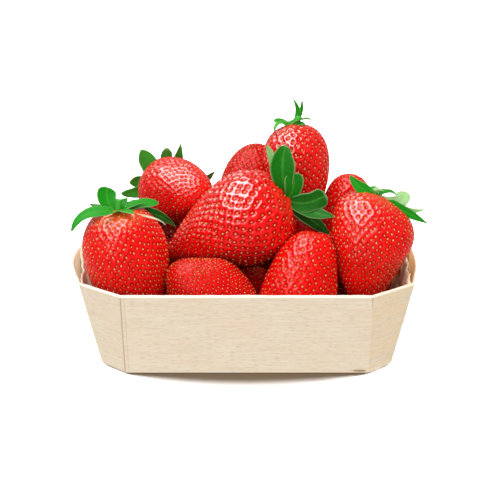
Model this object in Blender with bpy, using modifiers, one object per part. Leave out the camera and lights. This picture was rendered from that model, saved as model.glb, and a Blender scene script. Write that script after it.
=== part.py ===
"""Folded veneer punnet heaped above its rim with strawberries.

Origin at the middle of the base on the ground, long side along X, open top up.
Sizes below are in millimetres and are turned into metres when the meshes are made.
Two nodes: the folded veneer basket and the heap of fruit with its leaves.
"""
import bpy
import bmesh
import math
import numpy as np
from mathutils import Matrix, Vector

MM = 0.001

# Basket, outside sizes
RIM_LENGTH, RIM_WIDTH, HEIGHT = 150.0, 94.0, 41.5
BASE_LENGTH, BASE_WIDTH = 130.0, 74.0
RIM_CORNER = (19.5, 16.0)
BASE_CORNER = (10.5, 10.5)
VENEER = 0.9
BOW_LEFT, BOW_RIGHT = 5.0, 2.6
WALL_ROWS = 6
WALL_SLOPE = (RIM_LENGTH - BASE_LENGTH) / 2 / HEIGHT
LINER_THICKNESS = 0.7
LINER_BELOW_RIM = 0.6
LINER_DEPTH_LEFT, LINER_DEPTH_RIGHT = 5.5, 12.0
FOOT_GAP = (6.0, 1.2)
FOOT_GAP_X, FOOT_GAP_Z = 50.5, 1.65

# Heap
CLEARANCE = 0.35
CORE_INSET = 1.5
CORE_TOP = 24.0
CORE_CORNER = (14.0, 12.0)
FACET_GROWTH = 0.35
VIEW_TILT = math.radians(20.0)

# Leaves and stems
SEPAL_THICKNESS = 0.8
SEPAL_LEAST_WIDTH = 0.9
SEPAL_CUP = 0.16
SEPAL_RIPPLE = 0.25
SEPAL_ROOT_DEPTH = 1.2
STEM_ROOT_DEPTH = 2.5
STEM_SIDES = 6


def berry(centre, calyx, length, width, taper, square, flat=1.0, lobes=(), sides=9, rings=7):
    """One fruit: calyx gives the azimuth and elevation of its leafy end in degrees."""
    return dict(centre=centre, calyx=calyx, length=length, width=width, taper=taper,
                square=square, flat=flat, lobes=lobes, sides=sides, rings=rings)


# Fruit that shows from the front
BERRIES = {
    "left": berry((-53.6, -18.2, 45.5), (225, 79), 54.5, 38.0, 0.17, 0.75, sides=16, rings=11),
    "round_back": berry((-31.3, 22.6, 66.9), (130, -9), 39.0, 30.6, 0.30, 0.83, sides=14, rings=10),
    "big": berry((-9.2, -3.8, 58.1), (-9, 28), 65.0, 42.5, 0.60, 1.02, sides=18, rings=12),
    "top": berry((23.8, 20.0, 76.9), (120, 72), 44.2, 29.7, 0.22, 0.88, sides=14, rings=10),
    "behind_big": berry((3.6, 37.0, 66.5), (220, -54), 35.5, 31.2, 0.04, 0.80, flat=0.84,
                        sides=14, rings=9),
    "front_low": berry((-17.8, -23.8, 31.8), (1, -57), 42.0, 41.0, 0.22, 0.67, flat=0.70,
                       lobes=((1, 0.039, -100), (2, 0.014, 66), (3, 0.019, 106),
                              (4, 0.028, 182), (5, 0.035, -33)), sides=16, rings=12),
    "front_cone": berry((24.2, -23.5, 36.3), (201, -74), 51.5, 34.4, 0.20, 0.60,
                        sides=14, rings=11),
    "right": berry((55.0, -12.5, 50.0), (32, 80), 53.2, 37.4, 0.43, 1.02,
                   lobes=((1, 0.020, -38), (2, 0.026, -140), (3, 0.038, -8), (4, 0.025, 56)),
                   sides=18, rings=12),
    "small_right": berry((46.4, 20.0, 57.1), (188, -87), 35.2, 25.0, 0.10, 0.72,
                         sides=12, rings=9),
    # Fruit deep in the heap and along the back
    "deep_middle": berry((2.4, 3.9, 22.3), (249, -20), 30.0, 27.0, 0.20, 0.80),
    "deep_left": berry((-31.5, 14.5, 33.0), (60, -70), 29.0, 24.0, 0.20, 0.80),
    "deep_right": berry((34.0, 3.0, 19.5), (98, -60), 26.0, 25.0, 0.20, 0.80),
    "mid_right": berry((38.0, 4.0, 42.0), (20, -50), 25.0, 22.0, 0.25, 0.80),
    "end_right": berry((61.0, 16.0, 41.0), (70, -35), 23.0, 19.5, 0.25, 0.80),
    "back_left": berry((-52.0, 22.5, 41.5), (202, 58), 34.0, 28.0, 0.25, 0.80, flat=1.15),
    "back_middle": berry((-9.0, 27.0, 39.0), (81, -29), 34.0, 29.0, 0.25, 0.80),
    "back_third": berry((21.5, 26.0, 41.0), (14, -25), 34.0, 28.0, 0.25, 0.80),
    "back_right": berry((51.2, 22.7, 25.6), (-25, 11), 34.0, 28.0, 0.25, 0.80),
    "rim_back_right": berry((55.0, 33.5, 47.0), (136, 4), 21.0, 18.0, 0.25, 0.80),
    "rim_back": berry((35.5, 34.5, 45.0), (39, -10), 22.0, 17.5, 0.25, 0.80),
    "low_left": berry((-42.5, 1.4, 19.0), (152, -28), 27.0, 22.0, 0.25, 0.80),
    "end_left": berry((-61.5, 4.0, 33.0), (55, -40), 18.0, 16.5, 0.25, 0.80),
    "back_gap": berry((-35.5, 29.5, 43.0), (100, -12), 27.0, 23.0, 0.25, 0.80),
    "front_corner": berry((49.0, -30.5, 22.0), (76, -50), 18.0, 16.5, 0.25, 0.80),
}

# Sepals: fruit, middle and tip of the leaf's centre line, width, the way its face looks, outline
SEPALS = (
    ("left", (-61.6, -19.0, 75.8), (-61.8, -17.0, 81.7), 8.6, (0, -1, 0.2), "broad"),
    ("left", (-70.3, -23.0, 71.1), (-77.6, -26.0, 63.9), 6.0, (-0.3, -0.6, 0.7), "lance"),
    ("left", (-64.7, -20.0, 72.8), (-69.9, -18.0, 74.0), 2.6, (0, -0.7, 0.7), "lance"),
    ("left", (-48.4, -18.0, 73.8), (-39.4, -14.0, 73.1), 6.5, (0, -0.45, 0.9), "broad"),
    ("left", (-54.2, -26.0, 73.7), (-49.5, -30.0, 73.5), 4.5, (0.2, -0.3, 0.9), "lance"),
    ("left", (-43.3, -14.0, 68.4), (-31.9, -8.0, 59.7), 6.0, (-0.3, -0.6, 0.8), "lance"),
    ("left", (-59.4, -27.0, 73.4), (-62.6, -33.0, 73.6), 4.5, (-0.3, -0.5, 0.9), "lance"),
    ("round_back", (-45.4, 37.0, 74.1), (-49.5, 34.0, 82.9), 8.4, (0, -1, 0.1), "broad"),
    ("round_back", (-38.9, 39.0, 71.5), (-37.3, 37.0, 82.7), 5.0, (0, -1, 0.1), "blunt"),
    ("round_back", (-35.2, 39.0, 70.5), (-31.6, 36.0, 85.0), 5.8, (0, -1, 0.1), "lance"),
    ("round_back", (-49.2, 36.0, 66.6), (-54.9, 33.0, 67.3), 6.2, (0, -1, 0.1), "broad"),
    ("round_back", (-50.6, 34.0, 62.3), (-58.8, 30.0, 62.9), 5.2, (0, -0.9, 0.3), "broad"),
    ("round_back", (-27.7, 37.0, 64.8), (-16.3, 34.0, 72.4), 5.0, (0, -1, 0.1), "lance"),
    ("big", (13.1, -12.0, 85.7), (8.6, -12.0, 95.0), 4.0, (-0.3, -0.9, 0.2), "lance"),
    ("big", (16.3, -8.0, 87.6), (17.2, -3.0, 96.6), 9.8, (0, -1, 0.1), "blunt"),
    ("big", (20.8, -9.0, 78.3), (20.8, -8.0, 85.2), 8.2, (0.1, -1, 0.1), "blunt"),
    ("big", (26.2, -10.0, 71.8), (35.6, -8.0, 74.9), 8.8, (0.1, -0.9, 0.3), "blunt"),
    ("big", (28.6, -11.0, 68.3), (39.3, -16.0, 67.5), 7.4, (0.2, -0.7, 0.6), "lance"),
    ("big", (28.1, -9.0, 64.3), (37.6, -10.0, 56.8), 7.0, (0.3, -0.8, 0.3), "lance"),
    ("top", (16.7, 25.0, 99.2), (12.5, 22.0, 100.6), 4.0, (0, -0.5, 0.9), "broad"),
    ("top", (15.2, 22.0, 99.6), (12.5, 18.0, 97.0), 2.6, (-0.6, -0.6, 0.4), "lance"),
    ("top", (24.0, 24.0, 98.5), (26.7, 22.0, 99.1), 4.0, (0, -0.5, 0.9), "lance"),
    ("top", (23.6, 26.0, 102.7), (21.2, 25.0, 110.4), 2.8, (0, -1, 0), "lance"),
    ("top", (24.5, 26.0, 102.7), (25.3, 27.0, 109.8), 2.2, (0, -1, 0), "lance"),
    ("right", (51.0, -9.0, 78.8), (46.3, -6.0, 83.5), 5.6, (0, -0.9, 0.4), "lance"),
    ("right", (58.0, -9.0, 77.6), (61.4, -12.0, 78.2), 3.0, (0, -0.6, 0.8), "lance"),
    ("right", (67.2, -11.0, 72.8), (71.2, -7.0, 76.5), 7.4, (0, -1, 0.2), "blunt"),
    ("right", (70.7, -10.0, 68.9), (79.9, -8.0, 68.0), 3.2, (0, -0.8, 0.5), "lance"),
    ("right", (69.6, -13.0, 69.5), (81.0, -15.0, 63.8), 4.8, (0, -0.8, 0.5), "lance"),
)

# Rosettes on the side away from the front: fruit, turns in degrees, reach, width, lift of the tip
ROSETTES = (
    ("left", (15, 60, 105), 12.0, 5.5, 2.0),
    ("round_back", (20, 80, 140, 200), 11.0, 5.0, 2.5),
    ("top", (-20, 45, 100), 9.5, 4.5, 2.0),
    ("right", (20, 75, 130), 11.5, 5.0, 2.5),
    ("back_left", (0, 60, 120, 180, 240, 300), 8.0, 4.4, 2.0),
    ("end_right", (0, 72, 144, 216, 288), 7.0, 4.2, 1.5),
)

# Fruit that leans on fruit; a thick core runs between the two centres
LEANS = (
    ("left", "low_left"), ("round_back", "back_left"), ("round_back", "deep_left"),
    ("big", "deep_middle"), ("big", "front_cone"), ("top", "back_third"),
    ("behind_big", "back_middle"), ("small_right", "back_right"), ("small_right", "end_right"),
    ("right", "deep_right"), ("right", "mid_right"), ("back_left", "end_left"),
    ("end_left", "low_left"), ("rim_back_right", "back_right"), ("rim_back", "back_third"),
    ("rim_back", "rim_back_right"), ("mid_right", "deep_right"), ("big", "deep_left"),
    ("back_third", "back_middle"), ("top", "behind_big"), ("top", "mid_right"),
    ("back_gap", "back_left"), ("back_gap", "round_back"),
)
LEAN_RADIUS = 3.5
LEAN_SIDES = 5

# Short stems: fruit, end point, radius
STEMS = (
    ("left", (-56.4, -20.5, 77.0), 1.3),
    ("round_back", (-45.5, 40.4, 61.5), 1.2),
    ("top", (24.4, 26.2, 101.5), 1.5),
    ("back_left", (-61.0, 19.0, 58.2), 1.1),
)


# Scene helpers

def clear_scene():
    for ob in list(bpy.data.objects):
        bpy.data.objects.remove(ob, do_unlink=True)
    for mesh in list(bpy.data.meshes):
        bpy.data.meshes.remove(mesh)


def collection(name):
    col = bpy.data.collections.new(name)
    bpy.context.scene.collection.children.link(col)
    return col


def material(name, colour, roughness):
    mat = bpy.data.materials.new(name)
    mat.use_nodes = True
    shader = mat.node_tree.nodes["Principled BSDF"]
    shader.inputs["Base Color"].default_value = (*colour, 1.0)
    shader.inputs["Roughness"].default_value = roughness
    mat.diffuse_color = (*colour, 1.0)
    return mat


def bmesh_object(name, bm, col):
    """Object from a closed bmesh, its faces turned outward."""
    bm.normal_update()
    bmesh.ops.recalc_face_normals(bm, faces=bm.faces[:])
    mesh = bpy.data.meshes.new(name)
    bm.to_mesh(mesh)
    bm.free()
    ob = bpy.data.objects.new(name, mesh)
    col.objects.link(ob)
    return ob


def mesh_object(name, points, faces, col):
    """Object from points in millimetres."""
    bm = bmesh.new()
    verts = [bm.verts.new([float(c) * MM for c in p]) for p in points]
    for face in faces:
        bm.faces.new([verts[k] for k in face])
    return bmesh_object(name, bm, col)


def apply_modifiers(ob):
    graph = bpy.context.evaluated_depsgraph_get()
    mesh = bpy.data.meshes.new_from_object(ob.evaluated_get(graph), depsgraph=graph)
    ob.modifiers.clear()
    ob.data = mesh


def unit(v):
    v = np.asarray(v, float)
    return v / np.linalg.norm(v)


# Basket

def ring_corners(half_x, half_y, cut):
    """Eight corners of a rectangle with cut-off corners, from the front left fold."""
    cx, cy = cut
    return [(-half_x + cx, -half_y), (half_x - cx, -half_y), (half_x, -half_y + cy),
            (half_x, half_y - cy), (half_x - cx, half_y), (-half_x + cx, half_y),
            (-half_x, half_y - cy), (-half_x, -half_y + cy)]


def wall_ring(t):
    """Outline of the outer wall at height share t, end walls bowed outward toward the rim."""
    half_x = (BASE_LENGTH + (RIM_LENGTH - BASE_LENGTH) * t) / 2
    half_y = (BASE_WIDTH + (RIM_WIDTH - BASE_WIDTH) * t) / 2
    cut = [b + (r - b) * t for b, r in zip(BASE_CORNER, RIM_CORNER)]
    corners = ring_corners(half_x, half_y, cut)
    splits = (6, 2, 8, 2, 6, 2, 8, 2)
    ring = []
    for i, n in enumerate(splits):
        a, b = np.array(corners[i]), np.array(corners[(i + 1) % 8])
        for k in range(n):
            s = k / n
            p = a + (b - a) * s
            bulge = math.sin(math.pi * s) ** 1.2 * t ** 1.6 if n == 8 else 0.0
            p[0] += (BOW_RIGHT if i == 2 else -BOW_LEFT) * bulge
            ring.append((p[0], p[1]))
    return ring


def liner(side, depth, line, col):
    """Inner veneer layer at one end: a wavy strip standing inside the end wall."""
    points, faces = [], []
    rows = (0.0, 0.5, 1.0)
    top = HEIGHT - LINER_BELOW_RIM
    for y, x in line:
        for share in rows:
            z = top - depth * (1 - share)
            lean = WALL_SLOPE * (HEIGHT - z)
            for d in (-LINER_THICKNESS / 2, LINER_THICKNESS / 2):
                points.append((side * (x - lean + d), y, z))
    m = 2 * len(rows)
    n = len(line)
    for i in range(n - 1):
        for r in range(len(rows) - 1):
            for d in (0, 1):
                a = i * m + 2 * r + d
                faces.append((a, a + m, a + m + 2, a + 2))
        bottom, up = i * m, i * m + m - 2
        faces.append((bottom, bottom + m, bottom + m + 1, bottom + 1))
        faces.append((up, up + m, up + m + 1, up + 1))
    for i in (0, n - 1):
        for r in range(len(rows) - 1):
            a = i * m + 2 * r
            faces.append((a, a + 1, a + 3, a + 2))
    return mesh_object("liner", points, faces, col)


def basket(col, cutters):
    points, faces = [], []
    for row in range(WALL_ROWS + 1):
        t = row / WALL_ROWS
        points += [(x, y, HEIGHT * t) for x, y in wall_ring(t)]
    n = len(points) // (WALL_ROWS + 1)
    for row in range(WALL_ROWS):
        for i in range(n):
            a, b = row * n + i, row * n + (i + 1) % n
            faces.append((a, b, b + n, a + n))
    faces.append(tuple(range(n)))
    ob = mesh_object("basket", points, faces, col)
    shell = ob.modifiers.new("veneer", "SOLIDIFY")
    shell.thickness = VENEER * MM
    shell.offset = -1.0
    shell.use_even_offset = True
    apply_modifiers(ob)

    # Inner veneer layers standing at both ends, their ends let into the corner facets
    left_line = [(-31.6, 74.2), (-26, 73.9), (-20, 74.3), (-14, 73.9), (-8, 74.9), (-2, 75.2),
                 (5, 76.3), (12, 76.8), (19, 77.1), (25, 76.2), (31.6, 74.2)]
    right_line = [(-31.8, 73.9), (-26, 72.6), (-19, 73.4), (-12, 72.5), (-5, 73.6), (3, 73.3),
                  (11, 74.6), (19, 75.2), (26, 74.6), (31.8, 73.9)]
    parts = [liner(-1, LINER_DEPTH_LEFT, left_line, cutters),
             liner(1, LINER_DEPTH_RIGHT, right_line, cutters)]
    weld = ob.modifiers.new("liners", "BOOLEAN")
    weld.operation = "UNION"
    weld.solver = "EXACT"
    weld.operand_type = "COLLECTION"
    weld.collection = cutters
    apply_modifiers(ob)
    for part in parts:
        bpy.data.objects.remove(part, do_unlink=True)

    # Gap at the foot of the front panel beside the right-hand fold
    bm = bmesh.new()
    bmesh.ops.create_cone(bm, cap_ends=True, segments=10, radius1=MM, radius2=MM, depth=6 * MM,
                          matrix=Matrix.Rotation(math.pi / 2, 4, "X"))
    bmesh.ops.scale(bm, vec=(FOOT_GAP[0] / 2, 1.0, FOOT_GAP[1] / 2), verts=bm.verts)
    bmesh.ops.translate(bm, vec=(FOOT_GAP_X * MM, -BASE_WIDTH / 2 * MM, FOOT_GAP_Z * MM),
                        verts=bm.verts)
    cutter = bmesh_object("foot_gap", bm, cutters)
    cutter.hide_render = True
    cutter.display_type = "WIRE"
    gap = ob.modifiers.new("foot gap", "BOOLEAN")
    gap.operation = "DIFFERENCE"
    gap.solver = "EXACT"
    gap.object = cutter
    apply_modifiers(ob)
    bpy.data.objects.remove(cutter, do_unlink=True)
    return ob


# Fruit

def axes(b):
    """Axis toward the calyx and the two cross directions; the last one is the depth."""
    az, el = (math.radians(v) for v in b["calyx"])
    a = np.array([math.cos(el) * math.cos(az), math.cos(el) * math.sin(az), math.sin(el)])
    ref = np.array([0, 1.0, 0]) if abs(a[1]) < 0.9 else np.array([0, 0, 1.0])
    u = unit(np.cross(ref, a))
    return a, u, np.cross(a, u)


def lobed(d, b):
    """Uneven outline as seen from the front: slow waves round the view axis."""
    if not b["lobes"]:
        return d
    right = np.array([1.0, 0, 0])
    up = np.array([0, math.sin(VIEW_TILT), math.cos(VIEW_TILT)])
    x, w = d @ right, d @ up
    turn = math.atan2(w, x)
    k = sum(s * math.cos(n * turn - math.radians(p)) for n, s, p in b["lobes"])
    k *= min(1.0, math.hypot(x, w) / (0.35 * b["width"])) ** 2
    return d + k * x * right + k * w * up


def berry_point(b, phi, theta):
    """Point on the fruit: phi runs from the calyx end, theta round the axis."""
    a, u, v = axes(b)
    span = np.linspace(0.01, math.pi - 0.01, 200)
    widest = (np.sin(span) ** b["square"] * (1 + b["taper"] * np.cos(span))).max()
    s = max(math.sin(phi), 0.0)
    r = s ** b["square"] * (1 + b["taper"] * math.cos(phi)) / widest * b["width"] / 2
    z = math.cos(phi) * b["length"] / 2
    d = z * a + r * math.cos(theta) * u + r * math.sin(theta) * b["flat"] * v
    return np.array(b["centre"]) + lobed(d, b)


def berry_solid(name, b, col):
    """Closed fruit, its flat facets grown a little so that they straddle the round skin."""
    grow = 1 + FACET_GROWTH * (1 - math.cos(math.pi / b["sides"]))
    centre = np.array(b["centre"])
    bm = bmesh.new()
    bmesh.ops.create_uvsphere(bm, u_segments=b["sides"], v_segments=b["rings"], radius=1.0)
    for vert in bm.verts:
        phi = math.acos(max(-1.0, min(1.0, vert.co.z)))
        theta = math.atan2(vert.co.y, vert.co.x)
        vert.co = [c * MM for c in centre + (berry_point(b, phi, theta) - centre) * grow]
    return bmesh_object(name, bm, col)


def sepal_width(outline, t):
    if outline == "broad":
        return max(math.sin(math.pi * t ** 1.15), 0.0) ** 0.6
    if outline == "blunt":
        if t < 0.85:
            return math.sin(math.pi / 2 * min(t / 0.6, 1.0)) ** 0.8
        return math.sqrt(max(1 - ((t - 0.85) / 0.15) ** 2, 0.0))
    return max(math.sin(math.pi * t ** 0.8), 0.0) ** 0.85


def sepal(b, middle, tip, width, face, outline, col, wave, steps=5):
    """Thin leaf rooted in the calyx end of a fruit, arched through its middle point."""
    a, _, _ = axes(b)
    root = np.array(b["centre"]) + a * (b["length"] / 2 - SEPAL_ROOT_DEPTH)
    middle, tip = np.array(middle), np.array(tip)
    pull = 2 * middle - (root + tip) / 2
    points = []
    for i in range(steps):
        t = i / (steps - 1)
        p = (1 - t) ** 2 * root + 2 * t * (1 - t) * pull + t * t * tip
        along = unit(2 * (1 - t) * (pull - root) + 2 * t * (tip - pull))
        side = unit(np.cross(along, np.array(face, float)))
        up = np.cross(side, along)
        half = max(width * sepal_width(outline, 0.06 + 0.9 * t), SEPAL_LEAST_WIDTH) / 2
        for s in (-1.0, 0.0, 1.0):
            ripple = SEPAL_RIPPLE * math.sin(wave + 5 * t + 2 * s)
            lift = SEPAL_CUP * half * s * s + ripple * abs(s)
            q = p + side * half * s + up * lift
            for d in (-SEPAL_THICKNESS / 2, SEPAL_THICKNESS / 2):
                points.append(q + up * d)
    faces = []
    for i in range(steps - 1):
        for c in range(2):
            for d in (0, 1):
                k = i * 6 + c * 2 + d
                faces += [(k, k + 2, k + 8), (k, k + 8, k + 6)]
        for c in (0, 4):
            k = i * 6 + c
            faces += [(k, k + 1, k + 7), (k, k + 7, k + 6)]
    for i in (0, steps - 1):
        for c in range(2):
            k = i * 6 + c * 2
            faces += [(k, k + 1, k + 3), (k, k + 3, k + 2)]
    return mesh_object("sepal", points, faces, col)


def rosette(b, turns, reach, width, lift, col):
    a, u, v = axes(b)
    pole = np.array(b["centre"]) + a * b["length"] / 2
    for k, turn in enumerate(turns):
        r = math.radians(turn)
        out = math.cos(r) * u + math.sin(r) * v
        far = reach * (0.9 + 0.2 * math.sin(3.1 * k + 1))
        middle = pole + out * far * 0.5 + a * 1.3
        tip = pole + out * far + a * (lift - 0.12 * far + 1.5 * math.sin(2.3 * k))
        sepal(b, middle, tip, width, a, "lance", col, 1.7 * k, steps=4)


def core(col):
    """Hidden middle of the heap: a block filling the lower part of the basket."""
    levels = []
    for z in (VENEER + CLEARANCE, CORE_TOP):
        t = z / HEIGHT
        half_x = (BASE_LENGTH + (RIM_LENGTH - BASE_LENGTH) * t) / 2 - VENEER - CORE_INSET
        half_y = (BASE_WIDTH + (RIM_WIDTH - BASE_WIDTH) * t) / 2 - VENEER - CORE_INSET
        levels.append([(x, y, z) for x, y in ring_corners(half_x, half_y, CORE_CORNER)])
    sides = [(k, (k + 1) % 8, 8 + (k + 1) % 8, 8 + k) for k in range(8)]
    return mesh_object("fruit", levels[0] + levels[1],
                       sides + [tuple(range(8)), tuple(range(8, 16))], col)


def rod(start, end, r0, r1, n, col):
    """Many-sided bar between two points."""
    start, end = Vector(start) * MM, Vector(end) * MM
    along = end - start
    turn = along.to_track_quat("Z", "Y").to_matrix().to_4x4()
    bm = bmesh.new()
    bmesh.ops.create_cone(bm, cap_ends=True, segments=n, radius1=r0 * MM, radius2=r1 * MM,
                          depth=along.length,
                          matrix=Matrix.Translation((start + end) / 2) @ turn)
    return bmesh_object("rod", bm, col)


def fruit(col, pieces):
    body = core(col)
    for name, b in BERRIES.items():
        berry_solid(name, b, pieces)
    for k, (name, middle, tip, width, face, outline) in enumerate(SEPALS):
        sepal(BERRIES[name], middle, tip, width, face, outline, pieces, 1.3 * k)
    for name, turns, reach, width, lift in ROSETTES:
        rosette(BERRIES[name], turns, reach, width, lift, pieces)
    for name, end, radius in STEMS:
        b = BERRIES[name]
        root = np.array(b["centre"]) + axes(b)[0] * (b["length"] / 2 - STEM_ROOT_DEPTH)
        rod(root, end, radius * 1.25, radius, STEM_SIDES, pieces)
    for one, other in LEANS:
        rod(BERRIES[one]["centre"], BERRIES[other]["centre"], LEAN_RADIUS, LEAN_RADIUS,
            LEAN_SIDES, pieces)
    join = body.modifiers.new("heap", "BOOLEAN")
    join.operation = "UNION"
    join.solver = "MANIFOLD"
    join.operand_type = "COLLECTION"
    join.collection = pieces
    apply_modifiers(body)
    for piece in list(pieces.objects):
        bpy.data.objects.remove(piece, do_unlink=True)
    keep_largest(body)
    return body


def keep_largest(ob):
    """Drop loose scrap and sealed hollows left inside the fused heap."""
    bm = bmesh.new()
    bm.from_mesh(ob.data)
    left, shells = set(bm.verts), []
    while left:
        stack, shell = [left.pop()], set()
        while stack:
            vert = stack.pop()
            shell.add(vert)
            for edge in vert.link_edges:
                other = edge.other_vert(vert)
                if other in left:
                    left.discard(other)
                    stack.append(other)
        shells.append(shell)
    shells.sort(key=len)
    for shell in shells[:-1]:
        bmesh.ops.delete(bm, geom=list(shell), context="VERTS")
    bm.to_mesh(ob.data)
    bm.free()


clear_scene()
model = collection("punnet")
cutters = collection("basket cutters")
pieces = collection("heap pieces")
box = basket(model, cutters)
box.data.materials.clear()
box.data.materials.append(material("veneer", (0.80, 0.66, 0.47), 0.65))
heap = fruit(model, pieces)
heap.data.materials.clear()
heap.data.materials.append(material("fruit", (0.65, 0.02, 0.02), 0.35))
heap.data.shade_smooth()
heap.data.set_sharp_from_angle(angle=math.radians(50))
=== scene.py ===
"""Looks of a veneer punnet heaped with strawberries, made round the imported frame.

Lengths are in millimetres in the frame's axes: X along the punnet's long side, Y from its front
to its back, Z up. They become metres when a mesh is made.
"""
import bpy
import math
import numpy as np
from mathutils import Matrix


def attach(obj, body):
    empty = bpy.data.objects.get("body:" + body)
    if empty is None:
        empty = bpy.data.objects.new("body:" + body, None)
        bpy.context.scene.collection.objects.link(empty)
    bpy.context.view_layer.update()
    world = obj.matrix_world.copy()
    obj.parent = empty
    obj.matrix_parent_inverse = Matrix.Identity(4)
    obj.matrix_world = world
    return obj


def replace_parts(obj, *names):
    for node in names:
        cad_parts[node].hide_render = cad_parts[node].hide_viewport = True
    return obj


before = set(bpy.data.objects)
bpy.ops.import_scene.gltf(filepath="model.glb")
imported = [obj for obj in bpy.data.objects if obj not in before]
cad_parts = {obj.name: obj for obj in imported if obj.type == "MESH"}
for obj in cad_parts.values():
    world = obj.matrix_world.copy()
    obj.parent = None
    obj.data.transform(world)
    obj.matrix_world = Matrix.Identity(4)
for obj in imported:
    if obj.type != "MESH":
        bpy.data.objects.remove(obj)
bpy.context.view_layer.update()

MM = 0.001

# Camera, in metres
VIEW_TILT = math.radians(20.0)
CAMERA_REACH = 1.0
AIM = (0.0015, 0.0, 0.0457)
LENS, SENSOR = 157.464, 36.0

# Softboxes: name, direction from the fruit, distance and size in metres, radiance, use
LIT, GLEAM = "lit", "gleam"
SOFTBOXES = (
    ("front_fill", (-0.24, -0.93, 0.26), 1.30, (1.20, 0.60), 3.1, LIT),
    ("high_left", (-0.75, -0.35, 0.60), 1.30, (0.80, 0.80), 1.6, LIT),
    ("high_right", (0.75, -0.35, 0.60), 1.30, (0.80, 0.80), 2.0, LIT),
    ("back_fill", (0.15, 0.90, 0.35), 1.30, (1.00, 0.60), 1.6, LIT),
    ("floor_bounce", (0.0, 0.0, -1.0), 0.30, (1.60, 1.60), 0.80, LIT),
    ("gleam_above", (-0.38, -0.04, 0.92), 0.80, (1.06, 0.78), 10.0, GLEAM),
    ("gleam_front", (-0.60, -0.72, 0.34), 0.80, (0.15, 0.80), 8.0, GLEAM),
)
# Far soft lights: name, direction, angle in degrees, strength, colour, whether for the floor alone
WHITE, COOL = (1.0, 1.0, 1.0), (0.53, 0.69, 1.0)
SUNS = (
    ("overhead_sky", (0.0, -0.087, 1.0), 24.0, 1.60, WHITE, False),
    ("floor_from_left", (-1.0, 0.10, 0.9), 17.0, 50.0, COOL, True),
    ("floor_from_right", (1.0, 0.10, 0.9), 17.0, 50.0, COOL, True),
)
# White surroundings: strength as diffuse light, and what gleams from the front and from behind
AMBIENT = 0.44
GLEAM_FRONT, GLEAM_BACK = 0.06, 0.55

# Floor: tone under its own suns, half its side, and level, a hair below the basket
FLOOR_TONE = (0.19, 0.145, 0.10, 1.0)
FLOOR_REACH, FLOOR_LEVEL = 3000.0, -0.1

# Basket, outside sizes
RIM_LENGTH, RIM_WIDTH, HEIGHT = 150.0, 94.0, 41.5
BASE_LENGTH, BASE_WIDTH = 130.0, 74.0
RIM_CORNER = (19.5, 16.0)
BASE_CORNER = (10.5, 10.5)
VENEER = 0.9
WALL_SLOPE = (RIM_LENGTH - BASE_LENGTH) / 2 / HEIGHT
# End walls: how far they bow out at the rim, and how the bow fades along and down the wall
BOW_LEFT, BOW_RIGHT = 5.0, 2.6
BOW_ALONG, BOW_UP = 1.2, 1.6
# Fold groove: half width and depth; faint line beside it: its start, middle and end
FOLD_WIDTH, FOLD_DEPTH = 0.45, 0.30
FOLD_LINE = (1.5, 1.75, 2.0)
LIP_REACH = 1.1
FOOT_GAP = (6.0, 1.2)
FOOT_GAP_X, FOOT_GAP_Z = 50.5, 1.65
FOOT_GAP_DEPTH = 0.65
# Shares of tan and of cut-edge cream in the veneer; a left and a right end are -1 and 1
FACET_TAN = 0.20
INNER_TAN = {-1: 0.30, 1: 0.80}
# INNER_PAINTED_LIGHT is painted light: cream that lightens the inner faces, where little light
# reaches
INNER_PAINTED_LIGHT = 0.80
LINER_TAN = {-1: 0.45, 1: 0.75}
LINER_CREAM, LINER_EDGE_CREAM = 0.6, 0.9

# Inner veneer layers; each line has Y and the distance from the middle plane at the rim
LINER_THICKNESS = 0.7
LINER_BELOW_RIM = 0.6
LINER_DEPTH_LEFT, LINER_DEPTH_RIGHT = 5.5, 12.0
LINER_TAPER = 0.0036
LINER_RIPPLE = 0.25
LINER_PLAY = 0.05
LEFT_LINE = ((-31.2, 74.0), (-26, 73.9), (-20, 74.3), (-14, 73.9), (-8, 74.9), (-2, 75.2),
             (5, 76.3), (12, 76.8), (19, 77.1), (25, 76.2), (31.2, 74.0))
RIGHT_LINE = ((-31.2, 73.6), (-26, 72.6), (-19, 73.4), (-12, 72.5), (-5, 73.6), (3, 73.3),
              (11, 74.6), (19, 75.2), (26, 74.6), (31.2, 73.6))

# Hidden middle of the heap: its lumps' tops and radius, and the level between them
CORE_TOP, CORE_LUMP, CORE_BED = 23.5, 10.0, 8.0
CORE_SPACING = (1.6, 1.5)
CORE_SHIFT, CORE_DROP = 2.0, 2.5
CORE_INSET = 3.2

# Seeds: sizes, the spacing at which they are full-grown, and how deep they sit in their pits
GOLDEN_TURN = math.radians(137.508)
SEED_LENGTH, SEED_WIDTH, SEED_DEPTH = 1.22, 0.80, 0.62
SEED_FULL_GAP = 3.0
SEED_JITTER, SEED_TWIST = 0.10, 0.22
SEED_SUNK = 0.72
SEEDS_ABOVE = 20.0
SEEDLESS_CALYX, SEEDLESS_TIP = 0.10, 0.04

# Pits: steepness of the walls, how much longer than wide, and how matt
PIT_WALL, PIT_STRETCH, PIT_MATT = 1.5, 0.28, 0.9

# Skin: slow waves, where it is pale at the calyx, and painted shade: where it is made dark and matt
# underneath and low in the gaps
SKIN_WAVE, WAVE_PACE = 0.16, 0.16
LOBE_REACH = 0.35
PALE_REACH, PALE_FADE = 0.20, 1.2
SHADE_GLOSS, SHADE_FADE = 0.04, 4.0
UNDERSIDE_RATE, UNDERSIDE_START, UNDERSIDE_MOST = 2.3, 0.7, 0.8

# Leaves and stems
LEAF_ROOT, STEM_ROOT = 1.2, 2.5
LEAF_THICKNESS, LEAF_THIN_EDGE, LEAF_LEAST_WIDTH = 0.44, 0.55, 0.3
LEAF_CUP, LEAF_RIPPLE, LEAF_WAVE = 0.16, 0.3, 0.05
MIDRIB_WIDTH, VEIN_DEPTH = 0.10, 0.10
SIDE_VEIN, VEIN_PACE, VEIN_SLANT, VEIN_FINENESS = 0.5, 22, 0.55, 8
STEM_BEND, STEM_RIDGE = 0.3, 0.06


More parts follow.
